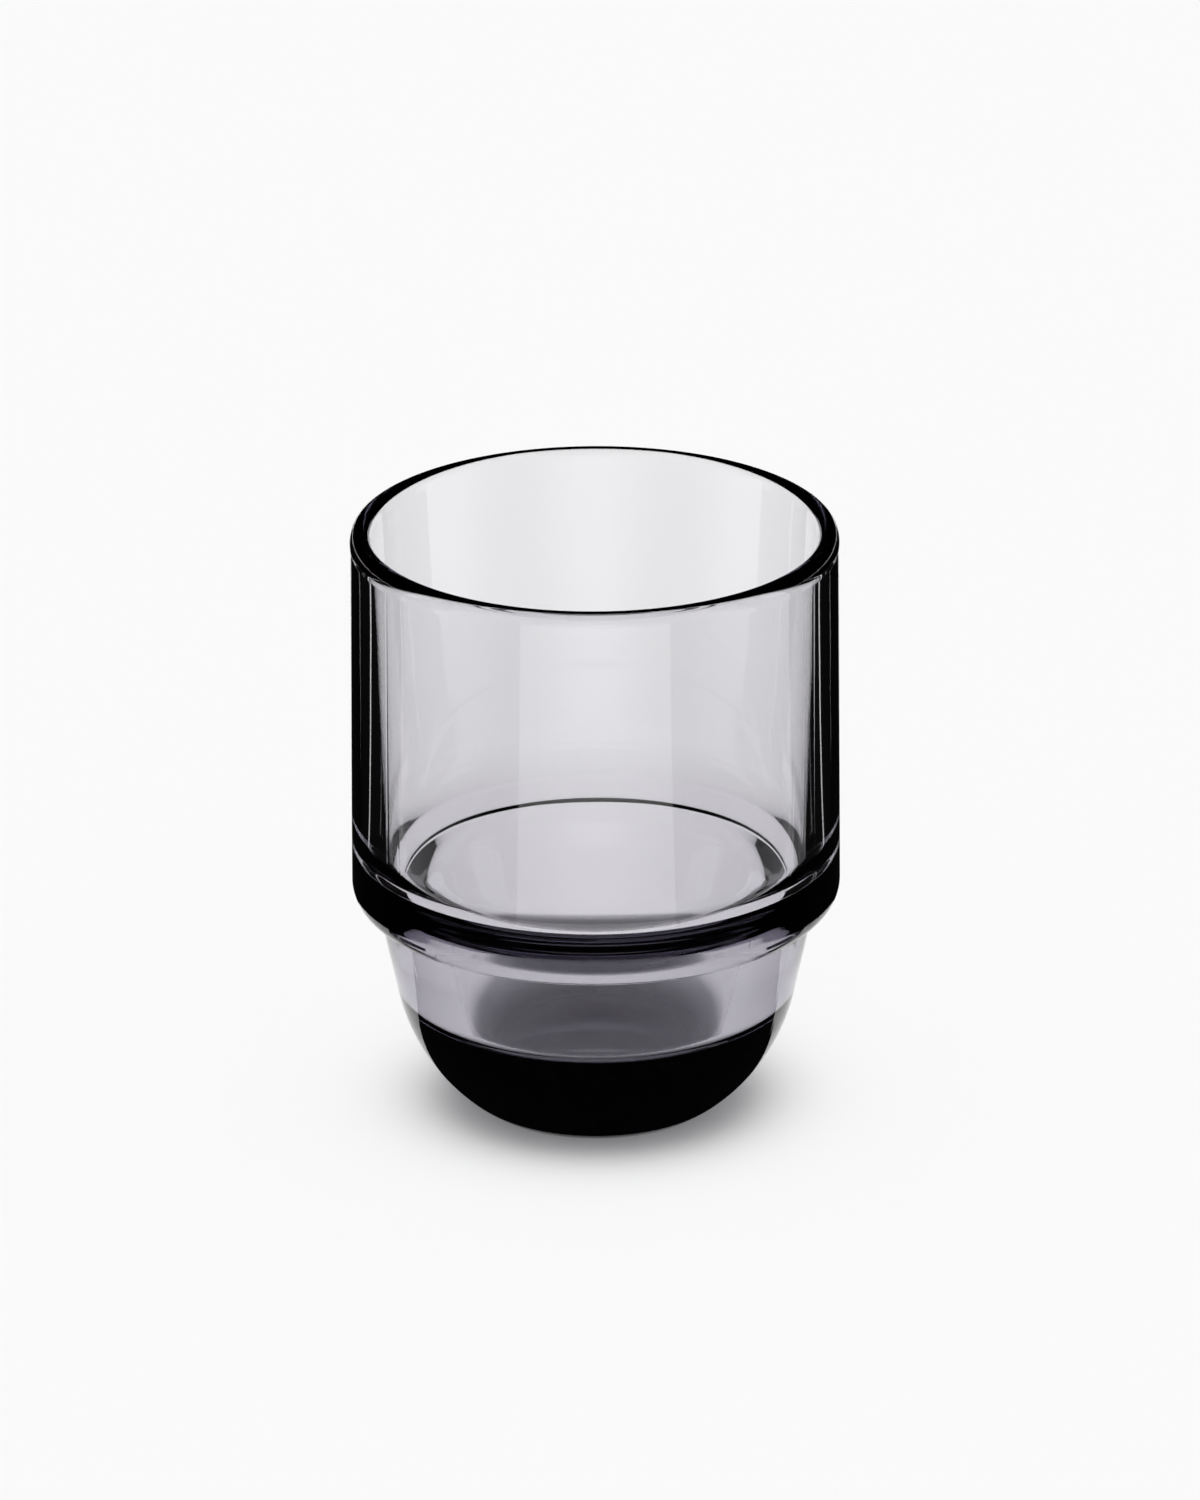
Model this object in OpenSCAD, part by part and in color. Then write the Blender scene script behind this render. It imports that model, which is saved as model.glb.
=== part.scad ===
// Cortado glass, pressed in one piece from smoke-tinted glass.
// The upper wall is almost straight and ends in a rounded shoulder. Below it a smaller
// bowl fits into the mouth of the glass underneath, so that the glasses stack.
// The origin is at the middle of the foot, +Z is up, and all sizes are in millimetres.

/* [Outside] */
// Diameter over the rim
rim_d = 68; // [60:0.5:80]
// Height from the foot to the top of the rim
height = 85; // [78:0.5:100]
// How far the wall stands back under the rim's bead
neck_inset = 0.08; // [0:0.02:0.4]
// How much the wall swells again, on the radius, between the neck and the shoulder
wall_flare = 0.27; // [0:0.01:1.2]
// Depth of the top of the shoulder's rounding below the rim
shoulder_drop = 51.9; // [46:0.1:56]
// Radius of the shoulder's rounding
shoulder_r = 3.7; // [2:0.1:5]

/* [Bowl and foot] */
// Free play on each side between the bowl and the mouth of the glass below
stack_play = 0.55; // [0.2:0.05:1.5]
// Taper of the bowl's side, in degrees
bowl_taper = 12; // [6:0.5:16]
// Radius that the bowl turns under with
bowl_r = 26.8; // [24:0.1:29]
// Diameter of the flat that the glass stands on
foot_d = 33.4; // [28:0.2:38]
// Radius that breaks the edge between the bowl and the foot
foot_edge_r = 1.5; // [0.5:0.1:3]
// Diameter of the shallow recess under the foot
recess_d = 25; // [16:0.5:27]
// Depth of the recess under the foot
recess_h = 0.6; // [0.2:0.1:1.5]

/* [Inside] */
// Thickness of the rim, which is a full round
rim_t = 2.8; // [2:0.1:3.6]
// Draft of the inner wall, in degrees
inner_draft = 1.15; // [0.5:0.05:2]
// Depth of the ring, where the funnel under the wide chamber ends and the narrow one begins
ring_drop = 53.1; // [46:0.1:58]
// Diameter of the narrow chamber at the ring
ring_d = 49; // [42:0.2:52]
// Fall of the funnel towards the ring, in degrees
funnel_fall = 45; // [38:1:55]
// Radius between the inner wall and the funnel
funnel_fillet_r = 11; // [2:0.5:13]
// Radius that rounds off the ring
ring_edge_r = 3.5; // [0.5:0.1:4.5]
// Taper of the narrow chamber's side, in degrees
chamber_taper = 14.6; // [8:0.2:18]
// Radius between the narrow chamber's side and its floor
chamber_r = 1.8; // [0.5:0.1:6]
// Thickness of the glass under the narrow chamber
base_t = 14.2; // [9:0.1:17]

/* [Hidden] */

$fn = 192;
arcStep = 6;                       // degrees between the points of an arc
smoke = [0.16, 0.155, 0.17, 0.55];

rimR = rim_d / 2;
beadR = rim_t / 2;
mouthR = rimR - rim_t;
neckR = rimR - neck_inset;
girthR = neckR + wall_flare;
shoulderZ = height - shoulder_drop;
seatR = mouthR - stack_play;
seatZ = shoulderZ - shoulder_r;
footR = foot_d / 2;
recessR = recess_d / 2;
ringR = ring_d / 2;
ringZ = height - ring_drop;

// Points of an arc from angle a0 to angle a1, both ends included
function arc(centre, r, a0, a1) =
    let (n = ceil(abs(a1 - a0) / arcStep))
    [for (i = [0:n]) let (a = a0 + (a1 - a0) * i / n) centre + r * [cos(a), sin(a)]];

// Length of a plane vector, and its direction as an angle
function len2(v) = sqrt(v * v);
function angle(v) = atan2(v[1], v[0]);

// The corner b of the path a, b, c, rounded with radius r
function rounded(a, b, c, r) =
    let (
        u = (a - b) / len2(a - b),
        v = (c - b) / len2(c - b),
        half = acos(u * v) / 2,
        bisector = (u + v) / len2(u + v),
        centre = b + bisector * r / sin(half),
        start = angle(b + u * r / tan(half) - centre),
        turn = angle(b + v * r / tan(half) - centre) - start
    )
    arc(centre, r, start, start + (turn > 180 ? turn - 360 : turn < -180 ? turn + 360 : turn));

// The bowl's arc touches the tapered side and comes down to the foot's edge.
// Its centre slides along the line parallel to the side, one radius inside it.
down = [-sin(bowl_taper), -cos(bowl_taper)];
inward = [-cos(bowl_taper), sin(bowl_taper)];
toSlide = [seatR, seatZ] + bowl_r * inward - [footR, 0];
slide = -toSlide * down - sqrt(pow(toSlide * down, 2) - toSlide * toSlide + bowl_r * bowl_r);
bowlCentre = [seatR, seatZ] + bowl_r * inward + slide * down;
footAngle = angle([footR, 0] - bowlCentre);

// Points where the inner wall, the funnel and the narrow chamber meet
funnelR = mouthR - (ring_drop - beadR) * tan(inner_draft);
funnelZ = ringZ + (funnelR - ringR) * tan(funnel_fall);
floorR = ringR - (ringZ - base_t) * tan(chamber_taper);

module outer_outline() {
    bead = [rimR - beadR, height - beadR];
    beadEnd = -acos((beadR - neck_inset) / beadR);
    footOn = [footR, 0] + foot_edge_r * [cos(footAngle + 90), sin(footAngle + 90)];
    polygon(concat(
        [[0, 0]],
        rounded([0, 0], [footR, 0], footOn, foot_edge_r),
        [for (p = arc(bowlCentre, bowl_r, footAngle, -bowl_taper)) if (p[1] > foot_edge_r / 2) p],
        [[seatR, seatZ]],
        arc([girthR - shoulder_r, shoulderZ], shoulder_r, -85, 0),
        arc(bead, beadR, beadEnd, 90),
        [[0, height]]
    ));
}

module inner_outline() {
    mouth = [mouthR, height - beadR];
    wallFoot = [funnelR, funnelZ];
    ring = [ringR, ringZ];
    chamberFoot = [floorR, base_t];
    polygon(concat(
        [[0, height + beadR], [rimR - beadR, height + beadR]],
        arc([rimR - beadR, height - beadR], beadR, 90, 180),
        rounded(mouth, wallFoot, ring, funnel_fillet_r),
        rounded(wallFoot, ring, chamberFoot, ring_edge_r),
        rounded(ring, chamberFoot, [0, base_t], chamber_r),
        [[0, base_t]]
    ));
}

module tumbler() {
    color(smoke)
    rotate_extrude()
    difference() {
        outer_outline();
        inner_outline();
        square([recessR, recess_h]);
    }
}

tumbler();
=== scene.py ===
import math
import bmesh
import bpy
from mathutils import Matrix, Vector, noise


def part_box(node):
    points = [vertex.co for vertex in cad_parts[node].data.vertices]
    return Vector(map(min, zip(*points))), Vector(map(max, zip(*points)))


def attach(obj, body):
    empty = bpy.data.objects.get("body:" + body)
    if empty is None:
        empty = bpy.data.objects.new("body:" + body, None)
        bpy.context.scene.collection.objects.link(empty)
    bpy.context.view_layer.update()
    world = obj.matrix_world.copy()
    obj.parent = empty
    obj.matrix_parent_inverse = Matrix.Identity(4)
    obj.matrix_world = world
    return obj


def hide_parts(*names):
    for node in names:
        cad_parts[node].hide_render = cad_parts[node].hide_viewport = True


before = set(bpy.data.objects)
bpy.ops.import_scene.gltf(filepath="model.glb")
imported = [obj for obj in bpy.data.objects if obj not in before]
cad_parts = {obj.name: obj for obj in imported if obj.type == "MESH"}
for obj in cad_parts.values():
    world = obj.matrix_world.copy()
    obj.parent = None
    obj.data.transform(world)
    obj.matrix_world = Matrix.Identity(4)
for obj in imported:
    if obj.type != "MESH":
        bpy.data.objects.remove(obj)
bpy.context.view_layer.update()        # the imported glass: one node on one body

mm = 0.001
scene = bpy.context.scene
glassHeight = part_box("tumbler")[1].z
print("frame loaded, glass height", round(glassHeight / mm, 2), "mm")


# Outline tools. The outline lies in the XZ plane and is drawn from vertex to vertex.

pen = {                 # in millimetres
    "longRun": 2,       # a longer run gets a vertex close to each end, so that it is shaded straight
    "endGap": 0.15,     # how close to the end that is
    "step": 2.5,        # the most between the vertices of a long run
}


def point(x, z):
    return Vector((x * mm, 0, z * mm))


def stepTo(bm, tip, target):
    tip = bmesh.ops.extrude_vert_indiv(bm, verts=[tip])["verts"][0]
    tip.co = target
    return tip


def lineTo(bm, tip, target):
    run = target - tip.co
    stops = [target]
    if run.length > pen["longRun"] * mm:
        gap = run.normalized() * (pen["endGap"] * mm)
        first, last = tip.co + gap, target - gap
        count = math.ceil(run.length / (pen["step"] * mm))
        stops = [first.lerp(last, part / count) for part in range(count + 1)] + [target]
    for stop in stops:
        tip = stepTo(bm, tip, stop)
    return tip


def arcTo(bm, tip, centre, degrees, step):
    # positive degrees turn from +X towards +Z, and step is the most between two vertices
    made = bmesh.ops.spin(bm, geom=[tip], cent=centre, axis=(0, -1, 0), angle=math.radians(degrees),
                          steps=max(2, math.ceil(abs(degrees) / step)))
    return [part for part in made["geom_last"] if isinstance(part, bmesh.types.BMVert)][0]


def cornerTo(bm, tip, corner, beyond, radius, step):
    # a straight stretch towards corner, then a round that turns it towards beyond
    back = (tip.co - corner).normalized()
    ahead = (beyond - corner).normalized()
    half = back.angle(ahead) / 2
    centre = corner + (back + ahead).normalized() * (radius * mm / math.sin(half))
    tip = lineTo(bm, tip, corner + back * (radius * mm / math.tan(half)))
    turn = 180 - 2 * math.degrees(half)
    side = back.cross(ahead).y
    return arcTo(bm, tip, centre, turn if side > 0 else -turn, step)


def oval(turn, full):
    # point on the quarter of an oval with half axes of one, fuller than an ellipse above 2
    angle = math.radians(turn)
    return math.cos(angle) ** (2 / full), math.sin(angle) ** (2 / full)


def heading(centre, target):
    # direction from centre to target, in degrees from +X towards +Z
    return math.degrees(math.atan2(target.z - centre.z, target.x - centre.x))


# The tumbler, turned from one closed outline

tumbler = {
    "rimRadius": 34.0,
    "rimThickness": 2.8,
    "beadOut": (1.2, 1.95, 2.08),    # half width, rise and fullness of the bead's outer side
    "beadIn": (1.6, 1.36, 2.8),      # and of its inner side
    "beadFoot": 0.6,           # the straight wall ends this far below the bead
    "neckInset": 0.08,
    "wallFlare": 0.27,         # the wall swells again towards the shoulder
    "shoulderDrop": 51.9,
    "shoulderRadius": 3.7,
    "seatRadius": 30.65,       # the bowl just fits the mouth of the glass below
    "creaseRound": 0.3,
    "lipAngle": 10,            # of the shoulder's underside where it leaves the crease
    "bowlTaper": 12,
    "bowlRadius": 26.8,
    "footRadius": 16.7,
    "footEdge": 1.5,
    "recessRadius": 14.0,      # a shallow dish under the foot
    "recessDepth": 0.6,
    "recessSteps": 14,
    "innerDraft": 1.64,
    "ringDrop": 52.7,          # where the funnel meets the narrow chamber
    "ringRadius": 23.9,
    "funnelFall": 36,
    "funnelFillet": 9.3,
    "ringEdge": 4.6,
    "chamberTaper": 15.1,
    "chamberRound": 2.8,
    "baseThickness": 14.4,
    "turnSteps": 288,
    "weld": 0.0005,            # vertices that lie closer are one
}

arcSteps = {                   # the most degrees between the vertices of each round
    "footEdge": 8,
    "bowl": 3,
    "crease": 10,
    "shoulder": 3,
    "bead": 6,
    "funnel": 3,
    "ring": 5,
    "chamber": 6,
}

seams = {
    "places": (-57.6, 62.4, 182.4),   # where the three mould parts met, in degrees from the front
    "height": 0.01,
    "width": 0.18,
    "cuts": (-0.9, -0.5, -0.25, 0, 0.25, 0.5, 0.9),   # where the mesh is cut beside each, in degrees
    "cutSnap": 0.0001,                # a cut keeps a vertex that lies closer
    "stray": 1.2,                     # how far they wander on the bowl, in degrees
    "strayGrain": 6,                  # the height of such a wander
    "strayRise": 3,                   # how fast it grows below the seat
    "strayApart": 7,                  # shift of the noise from one seam to the next
    "top": 82.0,
}

waves = {
    "grain": 11.0,          # of the fire-polished surface's slow waves
    "outside": 0.006,       # depth, always into the glass
    "inside": 0.01,
    "footFree": 1.6,        # the foot and the rim stay true
    "rimFree": 1.5,
    "fade": 3,              # height over which waves and seams grow from there
    "outerFrom": 0.1,       # least outward part of a normal on the outer side
    "girthFree": 0.002,     # the widest place stays this much slimmer than its measure
}


def seatHeight(size):
    return glassHeight / mm - size["shoulderDrop"] - size["shoulderRadius"]


def bowlCentre(size):
    # centre of the bowl's arc, which touches the tapered side and meets the foot
    taper = math.radians(size["bowlTaper"])
    down = Vector((-math.sin(taper), 0, -math.cos(taper)))
    inward = Vector((-math.cos(taper), 0, math.sin(taper)))
    seat = point(size["seatRadius"], seatHeight(size))
    radius = size["bowlRadius"] * mm
    toSlide = seat + inward * radius - point(size["footRadius"], 0)
    along = toSlide.dot(down)
    slide = -along - math.sqrt(along ** 2 - toSlide.dot(toSlide) + radius ** 2)
    return seat + inward * radius + down * slide


def drawBowl(bm, tip, size):
    # from the recess over the foot's edge to the end of the bowl's arc
    centre = bowlCentre(size)
    edge = size["footEdge"] * mm
    reach = size["bowlRadius"] * mm - edge
    edgeCentre = Vector((centre.x + math.sqrt(reach ** 2 - (edge - centre.z) ** 2), 0, edge))
    tip = lineTo(bm, tip, Vector((edgeCentre.x, 0, 0)))
    bowlStart = heading(centre, edgeCentre)
    tip = arcTo(bm, tip, edgeCentre, bowlStart + 90, arcSteps["footEdge"])
    return arcTo(bm, tip, centre, -size["bowlTaper"] - bowlStart, arcSteps["bowl"])


def drawShoulder(bm, tip, size):
    # up the tapered side, through the crease and round the shoulder
    girth = size["rimRadius"] - size["neckInset"] + size["wallFlare"]
    radius = size["shoulderRadius"]
    centre = point(girth - radius, glassHeight / mm - size["shoulderDrop"])
    lipStart = math.radians(size["lipAngle"] - 90)
    lip = centre + Vector((math.cos(lipStart), 0, math.sin(lipStart))) * (radius * mm)
    seat = point(size["seatRadius"], seatHeight(size))
    tip = cornerTo(bm, tip, seat, lip, size["creaseRound"], arcSteps["crease"])
    tip = lineTo(bm, tip, lip)
    return arcTo(bm, tip, centre, 90 - size["lipAngle"], arcSteps["shoulder"])


def drawBead(bm, tip, size):
    # up the outer wall and over the rim, to the top of the inner wall
    height, step = glassHeight / mm, arcSteps["bead"]
    wide, rise, full = size["beadOut"]
    neck = point(size["rimRadius"] - size["neckInset"], height - rise - size["beadFoot"])
    tip = lineTo(bm, tip, neck)
    for turn in range(0, 91, step):
        away, up = oval(turn, full)
        tip = stepTo(bm, tip, point(size["rimRadius"] - wide + wide * away, height - rise + rise * up))
    mouth = size["rimRadius"] - size["rimThickness"]
    wide, rise, full = size["beadIn"]
    for turn in range(90 - step, -1, -step):
        away, up = oval(turn, full)
        tip = stepTo(bm, tip, point(mouth + wide - wide * away, height - rise + rise * up))
    return tip


def drawInside(bm, tip, size):
    # down the inner wall, the funnel and the narrow chamber to the middle of its floor
    base = size["baseThickness"]
    ringHeight = glassHeight / mm - size["ringDrop"]
    wallRun = (size["ringDrop"] - size["beadIn"][1]) * math.tan(math.radians(size["innerDraft"]))
    funnelRadius = tip.co.x / mm - wallRun
    funnelRise = (funnelRadius - size["ringRadius"]) * math.tan(math.radians(size["funnelFall"]))
    chamberRun = (ringHeight - base) * math.tan(math.radians(size["chamberTaper"]))
    wallFoot = point(funnelRadius, ringHeight + funnelRise)
    ring = point(size["ringRadius"], ringHeight)
    chamberFoot = point(size["ringRadius"] - chamberRun, base)
    floorMiddle = point(0, base)
    tip = cornerTo(bm, tip, wallFoot, ring, size["funnelFillet"], arcSteps["funnel"])
    tip = cornerTo(bm, tip, ring, chamberFoot, size["ringEdge"], arcSteps["ring"])
    tip = cornerTo(bm, tip, chamberFoot, floorMiddle, size["chamberRound"], arcSteps["chamber"])
    return lineTo(bm, tip, floorMiddle)


def azimuthOf(place):
    # degrees from the front, towards +X
    return math.degrees(math.atan2(place.x, -place.y))


def seamHeight(place, marks):
    # the ridge that a joint of the mould leaves, straight on the wall and wandering on the bowl
    if place.z > marks["top"] * mm:
        return 0
    onBowl = max(0.0, 1 - place.z / (seatHeight(tumbler) * mm))
    radius = Vector(place.xy).length / mm
    height = 0
    for number, seam in enumerate(marks["places"]):
        level = place.z / (marks["strayGrain"] * mm)
        wander = noise.noise(Vector((0, marks["strayApart"] * number, level)))
        stray = marks["stray"] * wander * min(1, marks["strayRise"] * onBowl)
        away = (azimuthOf(place) - seam - stray + 180) % 360 - 180
        height += marks["height"] * math.exp(-(math.radians(away) * radius / marks["width"]) ** 2)
    return height


def cutBesideSeams(bm, marks):
    for seam in marks["places"]:
        for cut in marks["cuts"]:
            turn = math.radians(seam + cut)
            bmesh.ops.bisect_plane(bm, geom=bm.verts[:] + bm.edges[:] + bm.faces[:],
                                   dist=marks["cutSnap"] * mm, plane_co=(0, 0, 0),
                                   plane_no=(math.cos(turn), math.sin(turn), 0))


def liven(bm, size, shape, marks):
    # slow waves on both surfaces, and the mould's seams on the outer one
    cutBesideSeams(bm, marks)
    bm.normal_update()
    moves = []
    for vert in bm.verts:
        z = vert.co.z / mm
        overFoot = max(0, z - shape["footFree"])
        underRim = max(0, glassHeight / mm - shape["rimFree"] - z)
        free = min(1, overFoot / shape["fade"], underRim / shape["fade"])
        if free <= 0:
            continue
        outward = vert.normal.dot(Vector((vert.co.x, vert.co.y, 0)).normalized())
        wave = noise.noise(vert.co / (shape["grain"] * mm))
        if outward > shape["outerFrom"]:
            rise = seamHeight(vert.co, marks) - shape["outside"] * (0.5 + 0.5 * wave)
        else:
            rise = shape["inside"] * wave
        moves.append((vert, vert.normal * (free * rise * mm)))
    girth = (size["rimRadius"] - size["neckInset"] + size["wallFlare"] - shape["girthFree"]) * mm
    for vert, move in moves:
        vert.co += move
        radius = Vector(vert.co.xy).length
        if radius > girth:
            vert.co.xy *= girth / radius


def makeTumbler(size):
    bm = bmesh.new()
    tip = bm.verts.new(point(0, size["recessDepth"]))
    for step in range(1, size["recessSteps"] + 1):
        share = step / size["recessSteps"]
        tip = stepTo(bm, tip, point(size["recessRadius"] * share,
                                    size["recessDepth"] * (0.5 + 0.5 * math.cos(math.pi * share))))
    tip = drawBowl(bm, tip, size)
    tip = drawShoulder(bm, tip, size)
    tip = drawBead(bm, tip, size)
    drawInside(bm, tip, size)
    bmesh.ops.spin(bm, geom=bm.verts[:] + bm.edges[:], cent=(0, 0, 0), axis=(0, 0, 1),
                   angle=2 * math.pi, steps=size["turnSteps"], use_merge=True)
    bmesh.ops.remove_doubles(bm, verts=bm.verts, dist=size["weld"] * mm)
    bmesh.ops.recalc_face_normals(bm, faces=bm.faces)
    liven(bm, size, waves, seams)
    for face in bm.faces:
        face.smooth = True
    mesh = bpy.data.meshes.new("tumblerGlass")
    bm.to_mesh(mesh)
    bm.free()
    piece = bpy.data.objects.new("tumblerGlass", mesh)
    scene.collection.objects.link(piece)
    return piece


# Material tools

def blankMaterial(name):
    material = bpy.data.materials.new(name)
    material.use_nodes = True
    nodes, links = material.node_tree.nodes, material.node_tree.links
    nodes.clear()
    return material, nodes, links, nodes.new("ShaderNodeOutputMaterial")


def mathNode(nodes, links, operation, first, second):
    # first is a socket, and second is a socket or a number
    node = nodes.new("ShaderNodeMath")
    node.operation = operation
    links.new(first, node.inputs[0])
    if isinstance(second, (int, float)):
        node.inputs[1].default_value = second
    else:
        links.new(second, node.inputs[1])
    return node.outputs[0]


def mapRange(nodes, links, value, fromRange, toRange=(0, 1)):
    node = nodes.new("ShaderNodeMapRange")
    for name, number in zip(("From Min", "From Max", "To Min", "To Max"), (*fromRange, *toRange)):
        node.inputs[name].default_value = number
    links.new(value, node.inputs["Value"])
    return node.outputs["Result"]


def mixShaders(nodes, links, share, first, second=None):
    # a share of 1 gives second, or nothing where there is none
    mix = nodes.new("ShaderNodeMixShader")
    links.new(share, mix.inputs["Fac"])
    links.new(first, mix.inputs[1])
    if second:
        links.new(second, mix.inputs[2])
    return mix.outputs[0]


smoke = {
    "clear": (1.0, 1.0, 1.0, 1),
    "ior": 1.5,
    "density": 36.0,                    # of the smoke, per metre
    "tint": (0.094, 0.047, 0.203, 1),   # what the smoke lets through most
    "wear": (0.08, 0.16),               # least and most roughness of the worn foot
    "wearTop": 0.0014,
    "wearGrain": 700,
    "wearPatches": (0.3, 0.7),          # the part of the noise that is spread over that
    "lampFoot": (0.22, 0.22, 0.23, 1),  # how much lamp light each surface lets down to the floor
    "lampWall": (0.985, 0.985, 0.985, 1),
    "lampFootTop": 0.004,
    "lampWallFrom": 0.016,
}


def smokedGlass():
    material, nodes, links, output = blankMaterial("smokedGlass")
    shell = nodes.new("ShaderNodeBsdfPrincipled")
    shell.inputs["Base Color"].default_value = smoke["clear"]
    shell.inputs["IOR"].default_value = smoke["ior"]
    shell.inputs["Transmission Weight"].default_value = 1
    body = nodes.new("ShaderNodeVolumeAbsorption")
    body.inputs["Color"].default_value = smoke["tint"]
    body.inputs["Density"].default_value = smoke["density"]

    # the foot is worn by the tables that it stood on, and the rest is polished
    place = nodes.new("ShaderNodeTexCoord")
    split = nodes.new("ShaderNodeSeparateXYZ")
    links.new(place.outputs["Object"], split.inputs[0])
    foot = mapRange(nodes, links, split.outputs["Z"], (smoke["wearTop"], 0))
    grain = nodes.new("ShaderNodeTexNoise")
    grain.inputs["Scale"].default_value = smoke["wearGrain"]
    links.new(place.outputs["Object"], grain.inputs["Vector"])
    patches = mapRange(nodes, links, grain.outputs[0], smoke["wearPatches"], smoke["wear"])
    links.new(mathNode(nodes, links, "MULTIPLY", foot, patches), shell.inputs["Roughness"])

    # rays from the floor's own light pass straight through, so that its shadow stays soft
    rays = nodes.new("ShaderNodeLightPath").outputs
    straight = mathNode(nodes, links, "MAXIMUM", rays["Is Shadow Ray"], rays["Is Diffuse Ray"])
    height = mapRange(nodes, links, split.outputs["Z"], (smoke["lampFootTop"], smoke["lampWallFrom"]))
    through = nodes.new("ShaderNodeMix")
    through.data_type = "RGBA"
    through.inputs["A"].default_value = smoke["lampFoot"]
    through.inputs["B"].default_value = smoke["lampWall"]
    links.new(height, through.inputs["Factor"])
    opening = nodes.new("ShaderNodeBsdfTransparent")
    links.new(through.outputs["Result"], opening.inputs["Color"])
    surface = mixShaders(nodes, links, straight, shell.outputs[0], opening.outputs[0])
    links.new(surface, output.inputs["Surface"])
    links.new(mixShaders(nodes, links, straight, body.outputs[0]), output.inputs["Volume"])
    return material


glass = makeTumbler(tumbler)
glass.data.materials.append(smokedGlass())
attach(glass, "root")
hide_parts("tumbler")
print("tumbler turned,", len(glass.data.vertices), "vertices")


# The studio: a pale floor under an even sky, with dark cards that only the glass sees

studio = {
    "floorReach": 6.0,
    "paper": 0.9,            # how pale the floor is
    "white": 0.956,          # what it renders as, and the backdrop with it
    "wallDistance": 2.5,     # dark cloth round the table
    "cloth": 0.004,
    "lift": 0.0003,          # what lies flat round the glass is this far above the floor
    "cardNear": 0.053,       # a ring of dark cards round the glass
    "cardFar": 0.9,
    "cardParts": 720,
    "cardInner": 25,         # angle from the view to the card's edge behind the glass
    "cardSide": 15,          # and the same for a view from the side
    "cardSlit": 0.9,         # the two cards on a diagonal leave this open
    "mirrors": (             # where the glass mirrors no white floor: distances, and angles from the front
        ("mirrorFront", 0.0175, 0.128, 0, 100),
        ("mirrorSide", 0.128, 0.9, 33, 100),
        ("mirrorBack", 0.075, 0.9, 100, 160)),
    "sectorStep": 3,         # the most degrees between two corners of such a sector
    "paintedReflectionNear": 0.128,     # painted reflection: a glowing sector in front that only the glass mirrors, as a bright sheen
    "paintedReflectionFar": 0.3,
    "paintedReflectionTurn": 33,
    "paintedReflection": 1.45,          # strength of the painted reflection's glow
    "lampFocus": 3.7,        # power of the cosine by which the light falls off from overhead
}


def plainMaterial(name, colour):
    material, nodes, links, output = blankMaterial(name)
    paint = nodes.new("ShaderNodeBsdfDiffuse")
    paint.inputs["Color"].default_value = (colour, colour, colour, 1)
    links.new(paint.outputs[0], output.inputs["Surface"])
    return material


def cardMaterial():
    # dark only for the light that the glass has turned back inside itself, as far as cover says
    material, nodes, links, output = blankMaterial("darkCard")
    paint = nodes.new("ShaderNodeBsdfDiffuse")
    paint.inputs["Color"].default_value = (studio["cloth"], studio["cloth"], studio["cloth"], 1)
    opening = nodes.new("ShaderNodeBsdfTransparent")
    place = nodes.new("ShaderNodeAttribute")
    place.attribute_name = "cover"
    rays = nodes.new("ShaderNodeLightPath").outputs
    turned = mathNode(nodes, links, "GREATER_THAN", rays["Glossy Depth"], 0.5)     # once or more
    share = mathNode(nodes, links, "MULTIPLY", turned, place.outputs["Fac"])
    surface = mixShaders(nodes, links, share, opening.outputs[0], paint.outputs[0])
    links.new(surface, output.inputs["Surface"])
    return material


# a glow that lights nothing and that only the glass mirrors: a painted reflection
def paintedReflectionMaterial():
    material, nodes, links, output = blankMaterial("paintedReflectionGlow")
    light = nodes.new("ShaderNodeEmission")
    light.inputs["Strength"].default_value = studio["paintedReflection"]
    links.new(light.outputs[0], output.inputs["Surface"])
    return material


def stageObject(bm, name, material):
    mesh = bpy.data.meshes.new(name)
    bm.to_mesh(mesh)
    bm.free()
    thing = bpy.data.objects.new(name, mesh)
    scene.collection.objects.link(thing)
    mesh.materials.append(material)
    return thing


def onlyForGlass(thing, mirrored=True, seenThrough=True):
    thing.visible_camera = False
    thing.visible_diffuse = False
    thing.visible_shadow = False
    thing.visible_volume_scatter = False
    thing.visible_glossy = mirrored
    thing.visible_transmission = seenThrough


def layFloor():
    bm = bmesh.new()
    bmesh.ops.create_grid(bm, x_segments=1, y_segments=1, size=studio["floorReach"])
    return stageObject(bm, "floor", plainMaterial("floorPaper", studio["paper"]))


def hangCloth(material):
    bm = bmesh.new()
    bmesh.ops.create_uvsphere(bm, u_segments=48, v_segments=24, radius=studio["wallDistance"])
    bmesh.ops.bisect_plane(bm, geom=bm.verts[:] + bm.edges[:] + bm.faces[:], plane_co=(0, 0, 0),
                           plane_no=(0, 0, 1), clear_inner=True)
    return stageObject(bm, "cloth", material)


def overFloor(azimuth, reach):
    # a place just above the floor, at an angle from the front (-Y) and a distance from the middle
    turn = math.radians(azimuth)
    return Vector((math.sin(turn), -math.cos(turn), 0)) * reach + Vector((0, 0, studio["lift"]))


def cover(azimuth):
    # how dark the ring is at an angle from the front: sharp behind the glass, soft before it
    behind = 180 - abs(azimuth)
    if behind > 90:
        return math.sin(math.radians(behind * 2)) ** 2
    aside = min(behind, 90 - behind)        # from the nearer one of the view and the side view
    inner = studio["cardInner"] if behind < 45 else studio["cardSide"]
    inSlit = 45 - aside < studio["cardSlit"]
    return 0.0 if inSlit or aside < inner else 1.0


def layCards():
    bm = bmesh.new()
    layer = bm.verts.layers.float.new("cover")
    rows = []
    for part in range(studio["cardParts"]):
        azimuth = 360 * part / studio["cardParts"] - 180
        row = [bm.verts.new(overFloor(azimuth, studio[end])) for end in ("cardNear", "cardFar")]
        for vert in row:
            vert[layer] = cover(azimuth)
        rows.append(row)
    for row, other in zip(rows, rows[1:] + rows[:1]):
        bmesh.ops.contextual_create(bm, geom=row + other[::-1])
    return stageObject(bm, "cards", cardMaterial())


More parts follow.
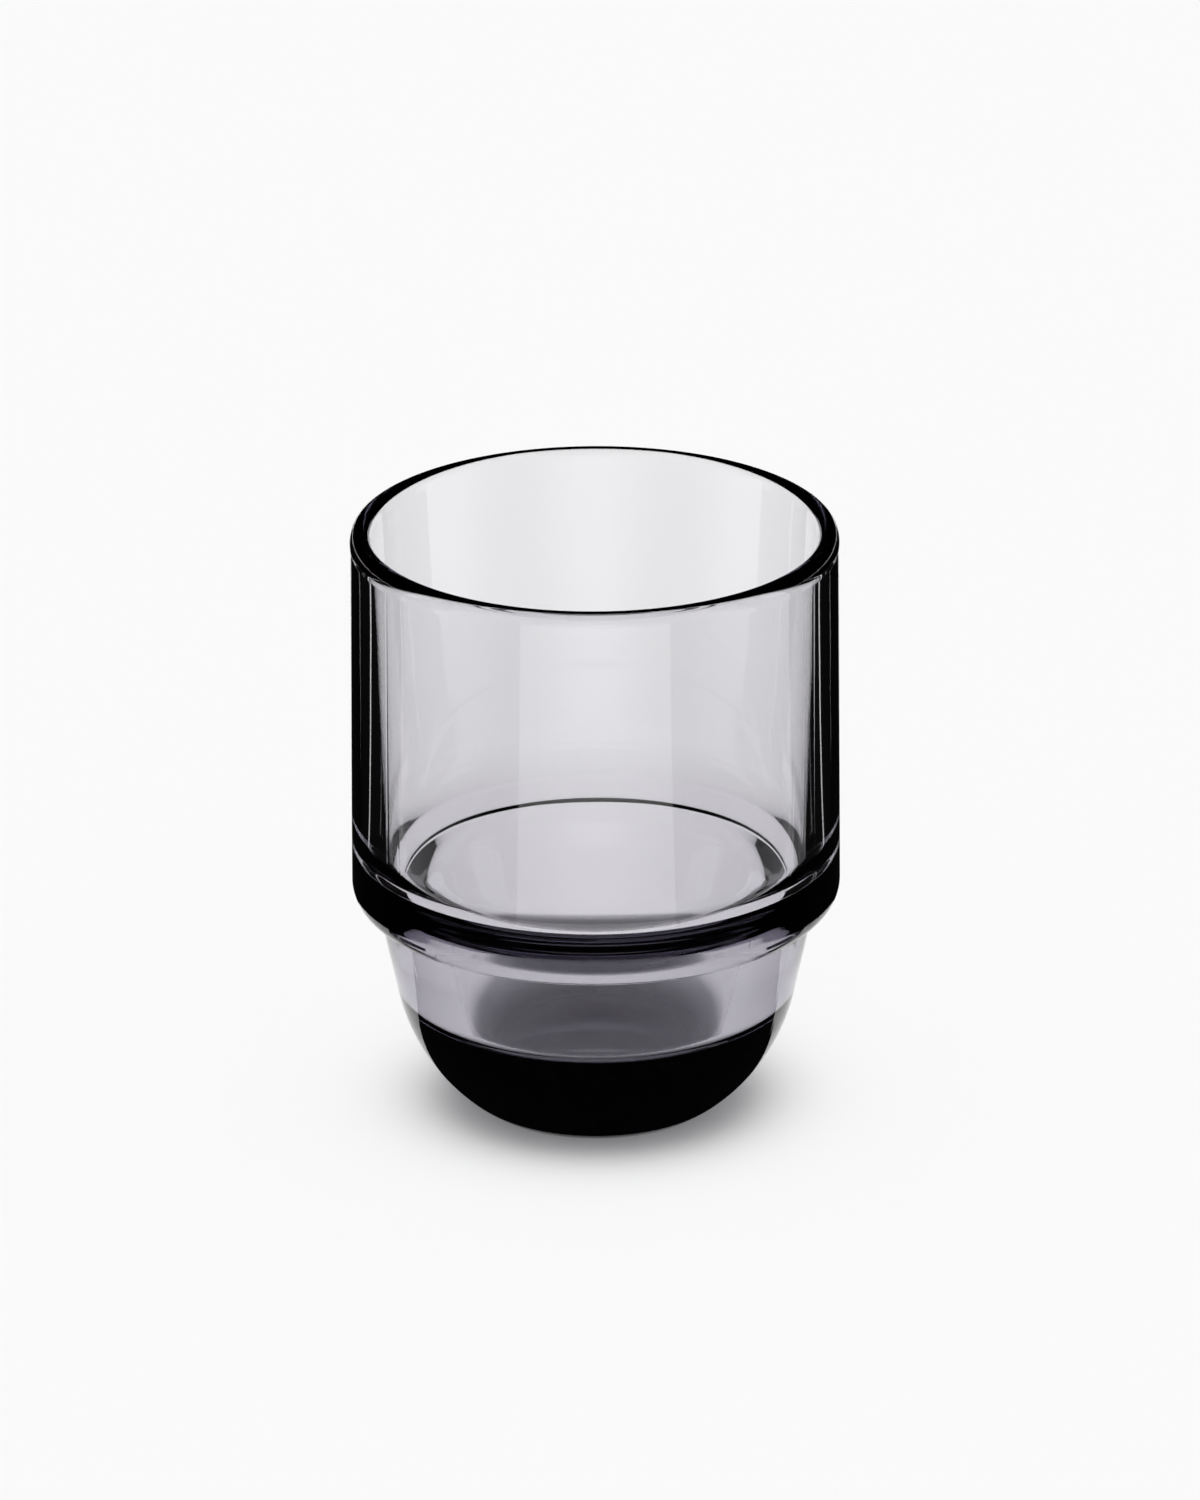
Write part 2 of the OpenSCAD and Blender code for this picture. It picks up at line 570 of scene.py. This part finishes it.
def laySector(name, near, far, start, end, material):
    # a flat ring sector on the floor, between two angles from the front
    bm = bmesh.new()
    ends = [bm.verts.new(overFloor(start, reach)) for reach in (near, far)]
    edge = bm.edges.new(ends)
    bmesh.ops.spin(bm, geom=ends + [edge], cent=(0, 0, 0), axis=(0, 0, 1), angle=math.radians(end - start),
                   steps=math.ceil(abs(end - start) / studio["sectorStep"]))
    return stageObject(bm, name, material)


def setWorld():
    world = bpy.data.worlds.new("studioSky")
    scene.world = world
    world.use_nodes = True
    nodes, links = world.node_tree.nodes, world.node_tree.links
    nodes.clear()
    output = nodes.new("ShaderNodeOutputWorld")
    rays = nodes.new("ShaderNodeLightPath").outputs
    direct = mathNode(nodes, links, "MAXIMUM", rays["Is Camera Ray"], rays["Is Glossy Ray"])
    seen = mathNode(nodes, links, "MAXIMUM", direct, rays["Is Transmission Ray"])
    light = nodes.new("ShaderNodeBackground")
    backdrop = nodes.new("ShaderNodeBackground")
    backdrop.inputs["Strength"].default_value = studio["white"]
    for shader in (light, backdrop):
        shader.inputs["Color"].default_value = (1, 1, 1, 1)

    # light from overhead, which brings the paper to the backdrop's white
    place = nodes.new("ShaderNodeTexCoord")
    split = nodes.new("ShaderNodeSeparateXYZ")
    links.new(place.outputs["Generated"], split.inputs[0])
    above = mathNode(nodes, links, "MAXIMUM", split.outputs["Z"], 0)
    focused = mathNode(nodes, links, "POWER", above, studio["lampFocus"])
    overhead = studio["white"] / studio["paper"] * (studio["lampFocus"] + 2) / 2
    links.new(mathNode(nodes, links, "MULTIPLY", focused, overhead), light.inputs["Strength"])
    surface = mixShaders(nodes, links, seen, light.outputs[0], backdrop.outputs[0])
    links.new(surface, output.inputs["Surface"])


layFloor()
darkCloth = plainMaterial("darkCloth", studio["cloth"])
onlyForGlass(hangCloth(darkCloth))
onlyForGlass(layCards(), mirrored=False)
for side in (-1, 1):
    for name, near, far, start, end in studio["mirrors"]:
        sector = laySector("%s_%s" % (name, "left" if side < 0 else "right"), near, far,
                           side * start, side * end, darkCloth)
        onlyForGlass(sector, seenThrough=False)
# a painted reflection: a glowing sector before the glass that only its mirror image shows
paintedReflection = laySector("paintedReflection", studio["paintedReflectionNear"], studio["paintedReflectionFar"], -studio["paintedReflectionTurn"],
                   studio["paintedReflectionTurn"], paintedReflectionMaterial())
onlyForGlass(paintedReflection, seenThrough=False)
setWorld()
print("studio set")


# The camera stands where the photograph was taken from

shot = {
    "distance": 1.632,
    "elevation": 21.985,
    "roll": -0.25,
    "lens": 279.9,
    "sensor": 36,
    "farthest": 50,          # what lies further away isn't drawn
    "aim": (0.00063, 0.00327, 0.0506),
}


def placeCamera():
    data = bpy.data.cameras.new("camera")
    camera = bpy.data.objects.new("camera", data)
    scene.collection.objects.link(camera)
    elevation = math.radians(shot["elevation"])
    place = Vector((0, -math.cos(elevation), math.sin(elevation))) * shot["distance"]
    place.z += glassHeight / 2
    turn = (Vector(shot["aim"]) - place).to_track_quat("-Z", "Y").to_matrix().to_4x4()
    roll = Matrix.Rotation(math.radians(shot["roll"]), 4, "Z")
    camera.matrix_world = Matrix.Translation(place) @ turn @ roll
    data.lens = shot["lens"]
    data.sensor_width = shot["sensor"]
    data.clip_end = shot["farthest"]
    scene.camera = camera


placeCamera()
scene.view_settings.view_transform = "Standard"
print("camera placed")
